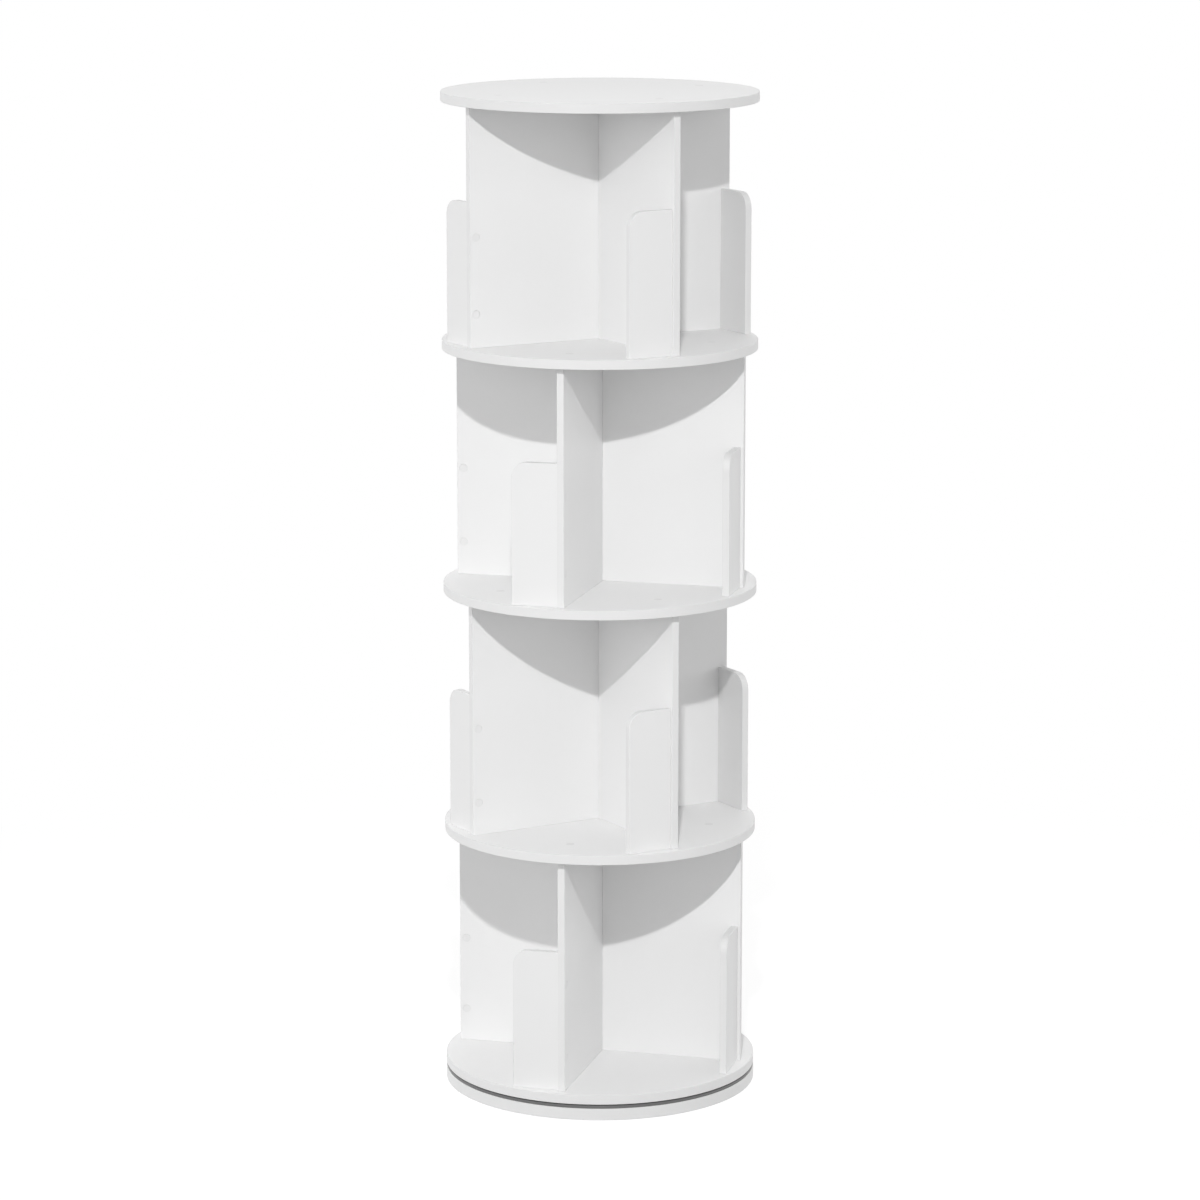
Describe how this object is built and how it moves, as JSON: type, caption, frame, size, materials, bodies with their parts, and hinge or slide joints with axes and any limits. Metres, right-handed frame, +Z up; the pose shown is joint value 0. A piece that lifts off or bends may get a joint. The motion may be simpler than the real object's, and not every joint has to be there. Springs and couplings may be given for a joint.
{
  "type": "revolving bookcase",
  "caption": "Tall free-standing revolving bookcase: round white shelves on a ball turntable, crossed dividers that make open compartments, and low fences that keep books in.",
  "frame": {"origin": "middle of the base's underside, on the floor, on the axis that the shelves turn about", "axes": "+Z up along the turning axis; X and Y along the dividers of the bottom tier"},
  "size_m": [0.4, 0.4, 1.2804],
  "materials": {
    "white_board": "white satin laminate",
    "zinc_steel": "zinc plated",
    "grey_plastic": "dark grey satin"
  },
  "bodies": {
    "base": {"base_board": "white_board", "turntable_trim_ring": "grey_plastic", "turntable_lower_plate": "zinc_steel", "base_bolt_1": "zinc_steel", "base_bolt_2": "zinc_steel", "base_bolt_3": "zinc_steel", "base_bolt_4": "zinc_steel"},
    "carousel": {"turntable_upper_plate": "zinc_steel", "turntable_screw_1": "zinc_steel", "turntable_screw_2": "zinc_steel", "turntable_screw_3": "zinc_steel", "turntable_screw_4": "zinc_steel", "bottom_shelf": "white_board", "shelf_1": "white_board", "shelf_2": "white_board", "shelf_3": "white_board", "top_board": "white_board", "tier_1_divider_slot_up": "white_board", "tier_1_divider_slot_down": "white_board", "tier_1_fence_1": "white_board", "tier_1_fence_2": "white_board", "tier_1_fence_3": "white_board", "tier_1_fence_4": "white_board", "tier_2_divider_slot_up": "white_board", "tier_2_divider_slot_down": "white_board", "tier_2_fence_1": "white_board", "tier_2_fence_2": "white_board", "tier_2_fence_3": "white_board", "tier_2_fence_4": "white_board", "tier_3_divider_slot_up": "white_board", "tier_3_divider_slot_down": "white_board", "tier_3_fence_1": "white_board", "tier_3_fence_2": "white_board", "tier_3_fence_3": "white_board", "tier_3_fence_4": "white_board", "tier_4_divider_slot_up": "white_board", "tier_4_divider_slot_down": "white_board", "tier_4_fence_1": "white_board", "tier_4_fence_2": "white_board", "tier_4_fence_3": "white_board", "tier_4_fence_4": "white_board", "tier_1_screw_1": "zinc_steel", "tier_1_screw_2": "zinc_steel", "tier_1_screw_3": "zinc_steel", "tier_1_screw_4": "zinc_steel", "tier_2_screw_1": "zinc_steel", "tier_2_screw_2": "zinc_steel", "tier_2_screw_3": "zinc_steel", "tier_2_screw_4": "zinc_steel", "tier_3_screw_1": "zinc_steel", "tier_3_screw_2": "zinc_steel", "tier_3_screw_3": "zinc_steel", "tier_3_screw_4": "zinc_steel", "tier_4_screw_1": "zinc_steel", "tier_4_screw_2": "zinc_steel", "tier_4_screw_3": "zinc_steel", "tier_4_screw_4": "zinc_steel"},
    "ball_ring": {"turntable_ball_ring": "zinc_steel"}
  },
  "joints": [
    {"name": "carousel_spin", "type": "hinge", "parent": "base", "child": "carousel", "pos_m": [0, 0, 0.0177], "axis": [0, 0, 1], "continuous": true},
    {"name": "ball_ring_spin", "type": "hinge", "parent": "base", "child": "ball_ring", "pos_m": [0, 0, 0.0177], "axis": [0, 0, 1], "continuous": true}
  ],
  "couplings": [
    {"joint": "ball_ring_spin", "follows": "carousel_spin", "ratio": 0.5}
  ]
}
